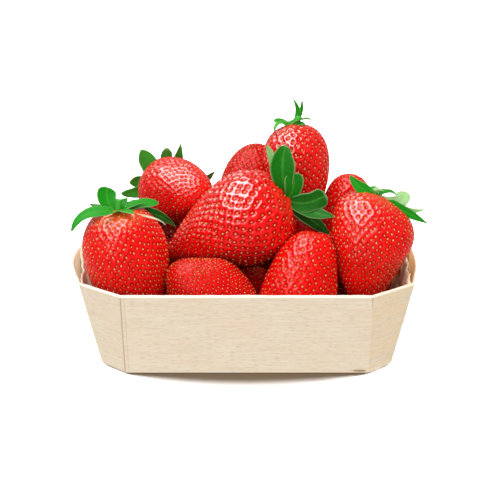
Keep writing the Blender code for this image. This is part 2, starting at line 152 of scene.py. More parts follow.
def berry(centre, calyx, length, width, taper, square, flat=1.0, lobes=(), mesh=22,
          spacing=(2.9, 2.5), pit=0.13, reach=0.40, pale=0.0, gloss=0.5, dull=0.0,
          bright_from=99.0):
    """One fruit: calyx gives the azimuth and elevation of its leafy end in degrees.

    taper widens the calyx end, a lower square makes the profile fuller, flat is the depth as a
    share of the width, and lobes are rows of waves round the outline, their share and turn.
    spacing is the seeds' distance at the calyx end and at the tip, pit and reach the depth and
    radius of their pits as shares of it, pale how unripe the calyx end stays, gloss the strength
    of its reflections and mesh the fineness of its skin. dull is the share of painted
    shade on a fruit that lies low in the gaps or in the shade of others: a dark and matt skin up
    to the Y bright_from.
    """
    return dict(centre=np.array(centre), calyx=calyx, length=length, width=width, taper=taper,
                square=square, flat=flat, lobes=lobes, mesh=mesh, spacing=spacing, pit=pit,
                reach=reach, pale=pale, gloss=gloss, dull=dull, bright_from=bright_from)


# dull gives painted shade: a dark, matt skin on the fruit deep in the gaps, and a share of it on
# behind_big and front_low
BERRIES = {
    "left": berry((-53.6, -18.2, 45.5), (225, 79), 54.5, 38.0, 0.17, 0.75, mesh=80,
                  spacing=(3.1, 2.5), pale=0.6, gloss=0.55),
    "round_back": berry((-31.3, 22.6, 66.9), (130, -9), 39.0, 30.6, 0.30, 0.83, mesh=64,
                        spacing=(2.7, 2.5), gloss=0.75),
    "big": berry((-9.2, -3.8, 58.1), (-9, 28), 65.0, 42.5, 0.60, 1.02, mesh=100,
                 spacing=(4.5, 2.7), pit=0.14, reach=0.41, pale=0.05, gloss=1.0),
    "top": berry((23.8, 20.0, 76.9), (120, 72), 44.2, 29.7, 0.22, 0.88, mesh=66,
                 spacing=(3.5, 2.8), pale=0.1, gloss=1.0),
    "behind_big": berry((3.6, 37.0, 66.5), (220, -54), 35.5, 31.2, 0.04, 0.80, flat=0.84, mesh=50,
                        spacing=(2.8, 2.5), gloss=0.20, dull=0.30),
    "front_low": berry((-17.8, -23.8, 31.8), (1, -57), 42.0, 41.0, 0.22, 0.67, flat=0.70,
                       lobes=((1, 0.039, -100), (2, 0.014, 66), (3, 0.019, 106),
                              (4, 0.028, 182), (5, 0.035, -33)), mesh=72,
                       spacing=(2.6, 2.2), pit=0.11, gloss=0.22, dull=0.20),
    "front_cone": berry((24.2, -23.5, 36.3), (201, -74), 51.5, 34.4, 0.20, 0.60, mesh=72,
                        spacing=(3.0, 3.2), gloss=0.42),
    "right": berry((55.0, -12.5, 50.0), (32, 80), 53.2, 37.4, 0.43, 1.02,
                   lobes=((1, 0.020, -38), (2, 0.026, -140), (3, 0.038, -8), (4, 0.025, 56)),
                   mesh=80, spacing=(3.3, 2.5), pale=0.2, gloss=0.75),
    "small_right": berry((46.4, 20.0, 57.1), (188, -87), 35.2, 25.0, 0.10, 0.72, mesh=44,
                         spacing=(2.9, 3.0), gloss=0.32),
    "deep_middle": berry((2.4, 3.9, 22.3), (249, -20), 30.0, 27.0, 0.20, 0.80, mesh=26),
    "deep_left": berry((-31.5, 14.5, 33.0), (60, -70), 29.0, 24.0, 0.20, 0.80, mesh=26,
                       dull=1.0),
    "deep_right": berry((34.0, 3.0, 19.5), (98, -60), 26.0, 25.0, 0.20, 0.80, dull=1.0),
    "mid_right": berry((38.0, 4.0, 42.0), (20, -50), 25.0, 22.0, 0.25, 0.80, mesh=30),
    "end_right": berry((61.0, 16.0, 41.0), (70, -35), 23.0, 19.5, 0.25, 0.80, mesh=36),
    "back_left": berry((-52.0, 22.5, 41.5), (202, 58), 34.0, 28.0, 0.25, 0.80, flat=1.15,
                       mesh=44),
    "back_middle": berry((-9.0, 27.0, 39.0), (81, -29), 34.0, 29.0, 0.25, 0.80, mesh=44),
    "back_third": berry((21.5, 26.0, 41.0), (14, -25), 34.0, 28.0, 0.25, 0.80, mesh=44),
    "back_right": berry((51.2, 22.7, 25.6), (-25, 11), 34.0, 28.0, 0.25, 0.80, mesh=34),
    "rim_back_right": berry((55.0, 33.5, 47.0), (136, 4), 21.0, 18.0, 0.25, 0.80, mesh=32),
    "rim_back": berry((35.5, 34.5, 45.0), (39, -10), 22.0, 17.5, 0.25, 0.80, mesh=32),
    "low_left": berry((-42.5, 1.4, 19.0), (152, -28), 27.0, 22.0, 0.25, 0.80, dull=1.0),
    "end_left": berry((-61.5, 4.0, 33.0), (55, -40), 18.0, 16.5, 0.25, 0.80, mesh=26),
    "back_gap": berry((-35.5, 29.5, 43.0), (100, -12), 27.0, 23.0, 0.25, 0.80, mesh=38,
                      dull=1.0, bright_from=29.0),
    "deep_back": berry((6.5, 30.0, 28.0), (80, -30), 18.0, 17.0, 0.20, 0.80, dull=1.0),
    "front_corner": berry((49.0, -30.5, 22.0), (76, -50), 18.0, 16.5, 0.25, 0.80),
}

# Leaves: fruit, middle and tip of the centre line, width, the way its face looks, outline, tone;
# round_back's leaves have high tones, their own yellow-green and in part painted light where they
# stand in shade
LEAVES = (
    ("left", (-61.6, -19.0, 75.8), (-61.8, -17.0, 81.7), 8.2, (0, -1, 0.2), "blunt", 0.50),
    ("left", (-70.3, -23.0, 71.1), (-77.6, -26.0, 63.9), 6.0, (-0.3, -0.6, 0.7), "lance", 0.55),
    ("left", (-64.7, -20.0, 72.8), (-69.9, -18.0, 74.0), 2.6, (0, -0.7, 0.7), "lance", 0.5),
    ("left", (-48.4, -18.0, 73.8), (-39.4, -14.0, 73.1), 6.5, (0, -0.45, 0.9), "broad", 0.6),
    ("left", (-54.2, -26.0, 73.7), (-49.5, -30.0, 73.5), 4.5, (0.2, -0.3, 0.9), "lance", 0.6),
    ("left", (-43.3, -14.0, 68.4), (-31.9, -8.0, 59.7), 6.0, (-0.3, -0.6, 0.8), "lance", 0.0),
    ("left", (-42.7, -25.0, 70.3), (-36.2, -20.0, 64.8), 0.9, (-0.3, -0.8, 0.5), "lance", 1.5),
    ("left", (-59.4, -27.0, 73.4), (-62.6, -33.0, 73.6), 4.5, (-0.3, -0.5, 0.9), "lance", 0.6),
    # round_back's leaves: tones raised in part as painted light
    ("round_back", (-45.4, 37.0, 74.1), (-49.5, 34.0, 82.9), 8.4, (0, -1, 0.1), "broad", 0.75),
    ("round_back", (-38.9, 43.2, 69.9), (-37.5, 37.0, 82.9), 5.4, (0, -1, 0.1), "blunt", 0.85),
    ("round_back", (-34.9, 43.4, 69.0), (-30.8, 36.0, 85.4), 8.4, (0, -1, 0.1), "lance", 0.75),
    ("round_back", (-49.2, 36.0, 66.6), (-54.9, 33.0, 67.3), 6.2, (0, -1, 0.1), "broad", 0.76),
    ("round_back", (-50.6, 34.0, 62.3), (-58.8, 30.0, 62.9), 5.2, (0, -0.9, 0.3), "broad", 0.72),
    ("round_back", (-26.0, 45.5, 62.0), (-15.0, 34.0, 72.7), 6.4, (0, -1, 0.1), "lance", 0.95),
    ("big", (12.4, -4.0, 88.0), (9.3, -3.0, 97.0), 4.6, (-0.3, -0.9, 0.2), "lance", 1.16),
    ("big", (16.0, -8.0, 87.0), (17.6, -3.0, 96.6), 11.0, (0, -1, 0.1), "broad", 0.2),
    ("big", (20.8, -9.0, 78.3), (20.8, -8.0, 85.2), 8.2, (0.1, -1, 0.1), "blunt", 0.25),
    ("big", (26.2, -10.0, 71.8), (35.6, -8.0, 74.9), 8.8, (0.1, -0.9, 0.3), "blunt", 0.1),
    ("big", (28.6, -11.0, 68.3), (39.3, -16.0, 67.5), 7.4, (0.2, -0.7, 0.6), "lance", 0.15),
    ("big", (28.1, -9.0, 64.3), (37.6, -10.0, 56.8), 7.0, (0.3, -0.8, 0.3), "lance", 0.0),
    ("top", (16.7, 25.0, 99.2), (12.5, 22.0, 100.6), 4.0, (0, -0.5, 0.9), "broad", 0.7),
    ("top", (15.2, 22.0, 99.6), (12.5, 18.0, 97.0), 2.6, (-0.6, -0.6, 0.4), "lance", 0.8),
    ("top", (24.0, 24.0, 98.5), (26.7, 22.0, 99.1), 4.0, (0, -0.5, 0.9), "lance", 0.7),
    ("top", (23.6, 26.0, 102.7), (21.2, 25.0, 110.4), 2.8, (0, -1, 0), "lance", 0.6),
    ("top", (24.5, 26.0, 102.7), (25.3, 27.0, 109.8), 2.2, (0, -1, 0), "lance", 0.5),
    ("right", (51.0, -9.0, 78.8), (46.3, -6.0, 83.5), 5.6, (0, -0.9, 0.4), "lance", 0.5),
    ("right", (58.0, -9.0, 77.6), (61.4, -12.0, 78.2), 3.0, (0, -0.6, 0.8), "lance", 1.26),
    ("right", (67.2, -11.0, 72.3), (70.6, -7.0, 76.3), 6.6, (0, -1, 0.2), "blunt", 1.22),
    ("right", (70.7, -10.0, 68.9), (79.9, -8.0, 68.0), 3.0, (0, -0.8, 0.5), "lance", 1.2),
    ("right", (69.6, -13.0, 69.5), (81.0, -15.0, 63.8), 4.8, (0, -0.8, 0.5), "lance", 0.45),
)

# Rosettes on the side away from the front: fruit, turns in degrees, reach, width, lift, tone
ROSETTES = (
    ("left", (15, 60, 105), 12.0, 5.5, 2.0, 0.5),
    ("round_back", (20, 80, 140, 200), 11.0, 5.0, 2.5, 0.55),
    ("top", (-20, 45, 100), 9.5, 4.5, 2.0, 0.6),
    ("right", (20, 75, 130), 10.0, 5.0, 0.0, 0.5),
    ("back_left", (0, 60, 120, 180, 240, 300), 8.0, 4.4, 2.0, 0.45),
    ("end_right", (0, 72, 144, 216, 288), 7.0, 4.2, 1.5, 0.4),
)

# Short stems: fruit, end point, radius
STEMS = (
    ("left", (-56.4, -20.5, 77.0), 1.3),
    ("round_back", (-45.5, 40.4, 61.5), 1.2),
    ("top", (24.4, 26.2, 101.5), 1.5),
    ("back_left", (-61.0, 19.0, 58.2), 1.1),
)


# Helpers

def unit(v):
    v = np.asarray(v, float)
    return v / np.linalg.norm(v, axis=-1, keepdims=True)


def mesh_object(name, points, faces, **attributes):
    """Object from points in millimetres; each attribute has one number or vector a point."""
    mesh = bpy.data.meshes.new(name)
    mesh.from_pydata((np.asarray(points, float) * MM).tolist(), [], faces)
    mesh.shade_smooth()
    for key, values in attributes.items():
        values = np.asarray(values, np.float32)
        kind, field = ("FLOAT", "value") if values.ndim == 1 else ("FLOAT_VECTOR", "vector")
        layer = mesh.attributes.new(key, kind, "POINT")
        layer.data.foreach_set(field, values.ravel())
    ob = bpy.data.objects.new(name, mesh)
    bpy.context.scene.collection.objects.link(ob)
    return ob


def piece(name, points, faces, mat, slot, **attributes):
    """Piece of the model that rides on the root body and has one material."""
    ob = mesh_object(name, points, faces, **attributes)
    ob.data.materials.append(mat)
    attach(ob, "root")
    return ob


def grid_faces(rows, cols, start=0, wrap=False, flip=False):
    """Quads of a grid of points, row after row; wrap joins the last column to the first."""
    r, c = np.meshgrid(np.arange(rows - 1), np.arange(cols if wrap else cols - 1), indexing="ij")
    nxt = (c + 1) % cols
    quads = np.stack([r * cols + c, r * cols + nxt, (r + 1) * cols + nxt, (r + 1) * cols + c], -1)
    quads = quads.reshape(-1, 4) + start
    return (quads[:, ::-1] if flip else quads).tolist()


def grid_edge(rows, cols):
    """Indices round the border of a grid of points."""
    return (list(range(cols)) + [r * cols + cols - 1 for r in range(1, rows)]
            + [(rows - 1) * cols + c for c in range(cols - 2, -1, -1)]
            + [r * cols for r in range(rows - 2, 0, -1)])


def closed_sheet_faces(rows, cols):
    """Faces of an upper and a lower grid of points joined round their border."""
    n = rows * cols
    edge = grid_edge(rows, cols)
    faces = grid_faces(rows, cols) + grid_faces(rows, cols, n, flip=True)
    return faces + [[i, i + n, j + n, j] for i, j in zip(edge, edge[1:] + edge[:1])]


def wall_size(t):
    """Half length, half width and corner cuts of the basket's outside at height share t."""
    half_x = (BASE_LENGTH + (RIM_LENGTH - BASE_LENGTH) * t) / 2
    half_y = (BASE_WIDTH + (RIM_WIDTH - BASE_WIDTH) * t) / 2
    cut_x, cut_y = (b + (r - b) * t for b, r in zip(BASE_CORNER, RIM_CORNER))
    return half_x, half_y, cut_x, cut_y


def wall_bulge(share, t):
    """Share of an end wall's bow at the shares along it and up it."""
    return np.sin(math.pi * share) ** BOW_ALONG * t ** BOW_UP


# Materials

def new_material(name, **values):
    """Material with one Principled shader whose named sockets are set directly."""
    mat = bpy.data.materials.new(name)
    mat.use_nodes = True
    shader = mat.node_tree.nodes["Principled BSDF"]
    for key, value in values.items():
        shader.inputs[key.replace("_", " ")].default_value = value
    return mat, mat.node_tree, shader


def attribute(tree, name, output="Fac"):
    """Socket that reads a mesh attribute."""
    node = tree.nodes.new("ShaderNodeAttribute")
    node.attribute_name = name
    return node.outputs[output]


def noise(tree, vector, scale, detail=3.0, roughness=0.5, stretch=(1, 1, 1)):
    """Noise of the given scale, in the units of vector."""
    place = tree.nodes.new("ShaderNodeMapping")
    place.inputs["Scale"].default_value = stretch
    node = tree.nodes.new("ShaderNodeTexNoise")
    node.inputs["Scale"].default_value = scale
    node.inputs["Detail"].default_value = detail
    node.inputs["Roughness"].default_value = roughness
    tree.links.new(vector, place.inputs["Vector"])
    tree.links.new(place.outputs["Vector"], node.inputs["Vector"])
    return node.outputs["Fac"]


def spread(tree, value, low, high, to_low=0.0, to_high=1.0):
    """Value mapped from one range to another, clamped."""
    node = tree.nodes.new("ShaderNodeMapRange")
    tree.links.new(value, node.inputs["Value"])
    for key, number in (("From Min", low), ("From Max", high), ("To Min", to_low),
                        ("To Max", to_high)):
        node.inputs[key].default_value = number
    return node.outputs["Result"]


def blend(tree, factor, a, b):
    """Colour from a to b; each is a socket or three numbers."""
    node = tree.nodes.new("ShaderNodeMix")
    node.data_type = "RGBA"
    tree.links.new(factor, node.inputs[0])
    for socket, value in ((node.inputs[6], a), (node.inputs[7], b)):
        if isinstance(value, tuple):
            socket.default_value = (*value, 1.0)
        else:
            tree.links.new(value, socket)
    return node.outputs[2]


def bump(tree, shader, height, distance, strength=1.0):
    """Fine grain of the surface, its distance in metres."""
    node = tree.nodes.new("ShaderNodeBump")
    node.inputs["Distance"].default_value = distance
    node.inputs["Strength"].default_value = strength
    tree.links.new(height, node.inputs["Height"])
    tree.links.new(node.outputs["Normal"], shader.inputs["Normal"])


def object_place(tree):
    """Coordinates in metres that stay with the surface."""
    return tree.nodes.new("ShaderNodeTexCoord").outputs["Object"]


def skin_material():
    """Skin of all the fruit; the attribute dull leads from glossy red to dark and matt as painted
    shade, and pit paints shade into the seeds' pits.
    """
    mat, tree, shader = new_material(
        "strawberry_skin", Subsurface_Weight=0.10, Subsurface_Radius=(0.9, 0.12, 0.08),
        Subsurface_Scale=0.0013)
    place = object_place(tree)
    dull = attribute(tree, "dull")
    low = blend(tree, dull, (0.78, 0.002, 0.003), (0.22, 0.002, 0.004))
    high = blend(tree, dull, (0.90, 0.006, 0.004), (0.34, 0.003, 0.005))
    # pit_shade is painted shade: a darker red inside the seeds' pits, led in by the attribute pit
    pit_shade = blend(tree, dull, (0.55, 0.002, 0.003), (0.12, 0.001, 0.003))
    ripe = blend(tree, spread(tree, noise(tree, place, 160.0), 0.35, 0.65), low, high)
    deep = blend(tree, spread(tree, attribute(tree, "pit"), 0.25, 1.0), ripe, pit_shade)
    colour = blend(tree, attribute(tree, "pale"), deep, (0.92, 0.30, 0.04))
    tree.links.new(colour, shader.inputs["Base Color"])
    tree.links.new(spread(tree, dull, 0.0, 1.0, 0.17, 0.5), shader.inputs["Roughness"])
    tree.links.new(attribute(tree, "gloss"), shader.inputs["Specular IOR Level"])
    bump(tree, shader, noise(tree, place, 1800.0, 2.0), 0.00003)
    return mat


def seed_material():
    """Husk of the seeds; the attribute tone leads from orange to straw."""
    mat, tree, shader = new_material("seed_husk", Roughness=0.30, Specular_IOR_Level=0.50)
    colour = blend(tree, attribute(tree, "tone"), (0.95, 0.42, 0.06), (1.0, 0.80, 0.30))
    tree.links.new(colour, shader.inputs["Base Color"])
    bump(tree, shader, noise(tree, object_place(tree), 2600.0, 1.0), 0.00003)
    return mat


def leaf_material():
    """Leaves and stems; tone leads from dark over bright and pale green to dry."""
    mat, tree, shader = new_material(
        "calyx_leaf", Roughness=0.48, Specular_IOR_Level=0.06, Subsurface_Weight=0.12,
        Subsurface_Radius=(0.4, 1.0, 0.2), Subsurface_Scale=0.0006)
    tone = attribute(tree, "tone")
    place = object_place(tree)
    dark = blend(tree, spread(tree, tone, 0.0, 0.55), (0.006, 0.055, 0.004), (0.008, 0.28, 0.005))
    pale = blend(tree, spread(tree, tone, 0.55, 1.0), dark, (0.12, 0.55, 0.08))
    base = blend(tree, spread(tree, tone, 1.0, 1.5), pale, (0.78, 0.80, 0.56))
    cloud = spread(tree, noise(tree, place, 260.0), 0.35, 0.7, 0.0, 0.35)
    cloudy = blend(tree, cloud, base, (0.020, 0.18, 0.008))
    veined = blend(tree, spread(tree, attribute(tree, "vein"), 0.3, 1.0, 0.0, 0.30), cloudy,
                   (0.10, 0.40, 0.05))
    edged = blend(tree, spread(tree, attribute(tree, "edge"), 0.86, 1.0, 0.0, 0.60), veined,
                  (0.36, 0.54, 0.24))
    tree.links.new(edged, shader.inputs["Base Color"])
    bump(tree, shader, noise(tree, place, 1500.0, 2.0), 0.00008)
    return mat


def veneer_material():
    """Peeled wood, streaked along its grain; tan and cut are painted over it, and crease paints
    shade in the fold grooves, along the foot and in the foot slot.
    """
    mat, tree, shader = new_material("peeled_veneer", Roughness=0.72, Specular_IOR_Level=0.20)
    grain = attribute(tree, "grain", "Vector")
    streak = spread(tree, noise(tree, grain, 1.0, 4.0, 0.6, (0.05, 1.1, 1.0)), 0.3, 0.7)
    fleck = spread(tree, noise(tree, grain, 1.0, 2.0, 0.5, (0.30, 1.7, 1.0)), 0.52, 0.70)
    wash = spread(tree, noise(tree, grain, 1.0, 2.0, 0.5, (0.04, 0.06, 1.0)), 0.35, 0.65)
    wood = blend(tree, streak, (0.66, 0.55, 0.40), (0.77, 0.675, 0.54))
    warm = blend(tree, spread(tree, wash, 0.0, 1.0, 0.0, 0.5), wood, (0.725, 0.575, 0.42))
    flecked = blend(tree, spread(tree, fleck, 0.0, 1.0, 0.0, 0.50), warm, (0.52, 0.40, 0.265))
    cut = blend(tree, attribute(tree, "cut"), flecked, (0.98, 0.93, 0.82))
    tanned = blend(tree, attribute(tree, "tan"), cut, (0.96, 0.62, 0.22))
    band = spread(tree, noise(tree, grain, 1.0, 2.0, 0.5, (0.02, 0.5, 1.0)), 0.40, 0.60, 0.3)
    # Painted shade: dark brown where crease is set
    creased = blend(tree, attribute(tree, "crease"), blend(tree, band, cut, tanned),
                    (0.34, 0.20, 0.10))
    tree.links.new(creased, shader.inputs["Base Color"])
    bump(tree, shader, noise(tree, grain, 1.0, 4.0, 0.6, (0.10, 2.4, 1.0)), 0.00012, 0.8)
    return mat


# Camera, light and floor

def facing(toward):
    """Rotation of a light that stands in the direction toward and shines back from there."""
    x, y, z = unit(toward)
    return math.acos(z), 0.0, math.atan2(x, -y)


def softbox(name, toward, distance, size, radiance, use):
    """Area light that faces the fruit and either lights it or only gleams on it."""
    data = bpy.data.lights.new(name, "AREA")
    data.shape = "RECTANGLE"
    data.size, data.size_y = size
    data.energy = radiance * math.pi * size[0] * size[1]
    light = bpy.data.objects.new(name, data)
    x, y, z = unit(toward)
    light.location = (AIM[0] + x * distance, AIM[1] + y * distance, AIM[2] + z * distance)
    light.rotation_euler = facing(toward)
    light.visible_diffuse = use == LIT
    light.visible_glossy = use == GLEAM
    bpy.context.scene.collection.objects.link(light)


def sun(name, toward, angle, strength, colour, receivers=None):
    """Far light without gleam; where receivers is given, it lights that collection alone."""
    data = bpy.data.lights.new(name, "SUN")
    data.angle, data.energy, data.color = math.radians(angle), strength, colour
    light = bpy.data.objects.new(name, data)
    light.rotation_euler = facing(toward)
    light.visible_glossy = False
    if receivers:
        light.light_linking.receiver_collection = receivers
    bpy.context.scene.collection.objects.link(light)


def studio_world():
    """White surroundings that gleam on the fruit from behind and hardly from the front."""
    world = bpy.data.worlds.new("studio")
    world.use_nodes = True
    tree = world.node_tree
    background = tree.nodes["Background"]
    background.inputs["Color"].default_value = (1, 1, 1, 1)
    path = tree.nodes.new("ShaderNodeLightPath")
    parts = tree.nodes.new("ShaderNodeSeparateXYZ")
    strength = tree.nodes.new("ShaderNodeMix")
    strength.inputs[2].default_value = AMBIENT
    tree.links.new(tree.nodes.new("ShaderNodeTexCoord").outputs["Generated"], parts.inputs[0])
    tree.links.new(path.outputs["Is Glossy Ray"], strength.inputs[0])
    tree.links.new(spread(tree, parts.outputs["Y"], 0.0, 0.8, GLEAM_FRONT, GLEAM_BACK),
                   strength.inputs[3])
    tree.links.new(strength.outputs[0], background.inputs["Strength"])
    bpy.context.scene.world = world


def lay_floor():
    """Plain plane that takes the basket's shadow and shows in no reflection."""
    mat, _, _ = new_material("pale_floor", Base_Color=FLOOR_TONE, Roughness=0.9,
                             Specular_IOR_Level=0.0)
    x, z = FLOOR_REACH, FLOOR_LEVEL
    floor = mesh_object("floor", [(-x, -x, z), (x, -x, z), (x, x, z), (-x, x, z)],
                        [(0, 1, 2, 3)])
    floor.data.materials.append(mat)
    floor.visible_glossy = floor.visible_diffuse = floor.visible_shadow = False
    return floor


def set_stage():
    """Camera, softboxes, surroundings, floor and suns."""
    camera = bpy.data.objects.new("camera", bpy.data.cameras.new("camera"))
    camera.data.lens, camera.data.sensor_width = LENS, SENSOR
    camera.data.clip_start = 0.01
    back = (0.0, -math.cos(VIEW_TILT), math.sin(VIEW_TILT))
    camera.location = [a + CAMERA_REACH * b for a, b in zip(AIM, back)]
    camera.rotation_euler = (math.pi / 2 - VIEW_TILT, 0, 0)
    bpy.context.scene.collection.objects.link(camera)
    bpy.context.scene.camera = camera
    for row in SOFTBOXES:
        softbox(*row)
    studio_world()
    bpy.context.scene.view_settings.view_transform = "Standard"
    floor_only = bpy.data.collections.new("floor_only")
    floor_only.objects.link(lay_floor())
    for *row, for_floor in SUNS:
        sun(*row, floor_only if for_floor else None)


# Fruit

def axes(b):
    """Axis toward the calyx and the two cross directions; the last one is the depth."""
    az, el = (math.radians(v) for v in b["calyx"])
    a = np.array([math.cos(el) * math.cos(az), math.cos(el) * math.sin(az), math.sin(el)])
    ref = np.array([0, 1.0, 0]) if abs(a[1]) < 0.9 else np.array([0, 0, 1.0])
    u = unit(np.cross(ref, a))
    return a, u, np.cross(a, u)


def outline(b, phi):
    """Height along the axis and radius of the fruit's profile."""
    span = np.linspace(0.01, math.pi - 0.01, 200)
    widest = (np.sin(span) ** b["square"] * (1 + b["taper"] * np.cos(span))).max()
    s = np.clip(np.sin(phi), 0, 1)
    r = s ** b["square"] * (1 + b["taper"] * np.cos(phi)) / widest * b["width"] / 2
    return np.cos(phi) * b["length"] / 2, r


def berry_surface(b, phi, theta):
    """Points on the fruit: phi runs from the calyx end, theta round the axis."""
    a, u, v = axes(b)
    z, r = outline(b, phi)
    d = (z[:, None] * a + (r * np.cos(theta))[:, None] * u
         + (r * np.sin(theta) * b["flat"])[:, None] * v)
    if b["lobes"]:
        right = np.array([1.0, 0, 0])
        up = np.array([0, math.sin(VIEW_TILT), math.cos(VIEW_TILT)])
        x, w = d @ right, d @ up
        turn = np.arctan2(w, x)
        k = sum(s * np.cos(n * turn - math.radians(p)) for n, s, p in b["lobes"])
        k = k * np.clip(np.hypot(x, w) / (LOBE_REACH * b["width"]), 0, 1) ** 2
        d = d + (k * x)[:, None] * right + (k * w)[:, None] * up
    return b["centre"] + d


def meridian(b):
    """Table of phi against the distance run along the profile from the calyx end."""
    phi = np.linspace(0, math.pi, 3000)
    z, r = outline(b, phi)
    run = np.concatenate([[0], np.cumsum(np.hypot(np.diff(z), np.diff(r)))])
    return phi, run, r


def cube_sphere(n):
    """Directions and quads of a sphere made from a cube with n squares along each edge."""
    t = np.tan(np.linspace(-math.pi / 4, math.pi / 4, n + 1))
    s, u = np.meshgrid(t, t, indexing="ij")
    one = np.ones_like(s)
    sides = [(s, u, one), (u, s, -one), (one, s, u), (-one, u, s), (u, one, s), (s, -one, u)]
    points = np.concatenate([np.stack(side, -1).reshape(-1, 3) for side in sides])
    points = unit(points)
    quads = np.concatenate([np.array(grid_faces(n + 1, n + 1, k * (n + 1) ** 2, flip=True))
                            for k in range(6)])
    _, first, index = np.unique(np.round(points, 6), axis=0, return_index=True,
                                return_inverse=True)
    return points[first], index.reshape(-1)[quads]


def seed_places(b, rng):
    """phi, theta and local spacing of the seeds, on a spiral that keeps their distance even."""
    phi, run, r = meridian(b)
    share = run / run[-1]
    gap = b["spacing"][0] + (b["spacing"][1] - b["spacing"][0]) * np.clip(share * 1.25, 0, 1)
    count = np.concatenate([[0], np.cumsum(2 * math.pi * r[1:] * np.diff(run)
                                           / (0.866 * gap[1:] ** 2))])
    k = np.arange(0.5, count[-1])
    gaps = np.interp(k, count, gap)
    place = np.interp(k, count, run) + rng.normal(0, SEED_JITTER, len(k)) * gaps
    seeds = np.interp(place, run, phi)
    theta = k * GOLDEN_TURN + rng.normal(0, SEED_JITTER, len(k)) * gaps / (b["width"] / 2)
    keep = (seeds > SEEDLESS_CALYX) & (seeds < math.pi - SEEDLESS_TIP)
    keep &= berry_surface(b, seeds, theta)[:, 2] > SEEDS_ABOVE
    return seeds[keep], theta[keep], gaps[keep]


def seed_frames(b, phi, theta):
    """Places of the seeds with the outward, tipward and sideways directions there."""
    step = 1e-3
    p = berry_surface(b, phi, theta)
    down = unit(berry_surface(b, phi + step, theta) - berry_surface(b, phi - step, theta))
    side = berry_surface(b, phi, theta + step) - berry_surface(b, phi, theta - step)
    out = unit(np.cross(down, side))
    out = np.where(((out * (p - b["centre"])).sum(1) < 0)[:, None], -out, out)
    return p, out, down, np.cross(out, down)


def vertex_normals(points, quads):
    """Outward unit normals of a closed quad mesh."""
    a, b, c, d = (points[quads[:, k]] for k in range(4))
    face = np.cross(c - a, d - b)
    normals = np.zeros_like(points)
    for k in range(4):
        np.add.at(normals, quads[:, k], face)
    return unit(normals)


def berry_skin(name, b, rng, mat):
    """Skin with a rounded pit for each seed; returns the seeds' frames and sizes."""
    directions, quads = cube_sphere(b["mesh"])
    phi_table, run, _ = meridian(b)
    share = np.arccos(np.clip(directions[:, 2], -1, 1)) / math.pi
    phi = np.interp(share * run[-1], run, phi_table)
    theta = np.arctan2(directions[:, 1], directions[:, 0])
    points = berry_surface(b, phi, theta)
    normals = vertex_normals(points, quads)
    if ((normals * (points - b["centre"])).sum(1)).mean() < 0:
        quads, normals = quads[:, ::-1], -normals

    seed_phi, seed_theta, gaps = seed_places(b, rng)
    place, out, down, side = seed_frames(b, seed_phi, seed_theta)
    depth = b["pit"] * gaps * rng.uniform(0.8, 1.2, len(gaps))
    radius = b["reach"] * gaps * rng.uniform(0.92, 1.1, len(gaps))
    sink = np.zeros(len(points))
    pit = np.zeros(len(points))
    chunk = 6000
    for start in range(0, len(points), chunk):
        part = points[start:start + chunk]
        square = ((part ** 2).sum(1)[:, None] + (place ** 2).sum(1)[None, :]
                  - 2 * part @ place.T)
        along = part @ down.T - (place * down).sum(1)[None, :]
        near = (square - PIT_STRETCH * along ** 2) / radius[None, :] ** 2
        dent = np.clip(PIT_WALL * (1 - near), 0, 1)
        dent = dent ** 2 * (3 - 2 * dent)
        sink[start:start + chunk] = (dent * depth[None, :]).max(1)
        pit[start:start + chunk] = dent.max(1)
    waves = [(rng.normal(0, WAVE_PACE, 3), rng.uniform(0, 6.3)) for _ in range(4)]
    rise, seed_rise = (SKIN_WAVE * sum(np.sin(at @ way + start) for way, start in waves)
                       for at in (points, place))
    points = points + normals * (rise - sink)[:, None]
    pale = b["pale"] * np.clip(1 - share / PALE_REACH, 0, 1) ** PALE_FADE
    # Painted shade: dark and matt skin low in the gaps, up to bright_from, and on the undersides
    gap_shade = b["dull"] * np.clip((b["bright_from"] - points[:, 1]) / SHADE_FADE, 0, 1)
    underside_shade = np.clip(-UNDERSIDE_RATE * normals[:, 2] - UNDERSIDE_START, 0, UNDERSIDE_MOST)
    dull = np.maximum(gap_shade, underside_shade)
    gloss = (b["gloss"] + (SHADE_GLOSS - b["gloss"]) * dull) * (1 - PIT_MATT * pit)
    piece(f"berry_{name}", points, quads.tolist(), mat, "fruit", pit=pit, pale=pale, dull=dull,
          gloss=gloss)
    size = np.clip(gaps / SEED_FULL_GAP, 0.6, 1.05) * rng.uniform(0.72, 1.12, len(gaps))
    return place + out * (seed_rise - depth * SEED_SUNK)[:, None], out, down, side, size


def seed_shape(sides=4):
    """Teardrop of unit length along x, blunt end at +x, with its faces."""
    stations = ((-0.5, 0.0), (-0.15, 0.38), (0.25, 0.46), (0.5, 0.0))
    points = []
    for x, r in stations[1:-1]:
        for k in range(sides):
            turn = 2 * math.pi * k / sides
            points.append((x, r * math.cos(turn), r * math.sin(turn)))
    faces = grid_faces(2, sides, wrap=True, flip=True)
    first, last = len(points), len(points) + 1
    points += [(stations[0][0], 0, 0), (stations[-1][0], 0, 0)]
    for k in range(sides):
        nxt = (k + 1) % sides
        faces.append([first, nxt, k])
        faces.append([last, sides + k, sides + nxt])
    return np.array(points), faces


